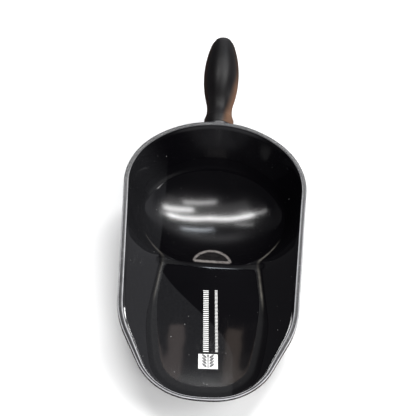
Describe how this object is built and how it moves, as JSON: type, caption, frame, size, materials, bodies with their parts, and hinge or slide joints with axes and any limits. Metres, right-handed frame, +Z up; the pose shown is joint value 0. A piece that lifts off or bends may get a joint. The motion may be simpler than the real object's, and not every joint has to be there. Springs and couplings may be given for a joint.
{
  "type": "hand scoop",
  "caption": "Hand-held feed and grain scoop with a deep round sump, flat run-out floor, open rounded lip and a straight bulbous handle at the back.",
  "frame": {"origin": "centre of the foot ring's flat face, which stands on the ground", "axes": "+Y from the lip towards the handle's end, +Z up from the foot ring, X across the scoop, which is symmetric about X = 0"},
  "size_m": [0.1498, 0.3749, 0.0722],
  "materials": {
    "bowl_plastic": "glossy black moulded plastic with fine dust and light scratches",
    "handle_plastic": "glossy black moulded plastic, slightly worn",
    "screw_steel": "plated self-tapping screws"
  },
  "bodies": {
    "root": {"bowl": "bowl_plastic", "handle_upper": "handle_plastic", "handle_lower": "handle_plastic", "handle_screws": "screw_steel"}
  },
  "joints": []
}
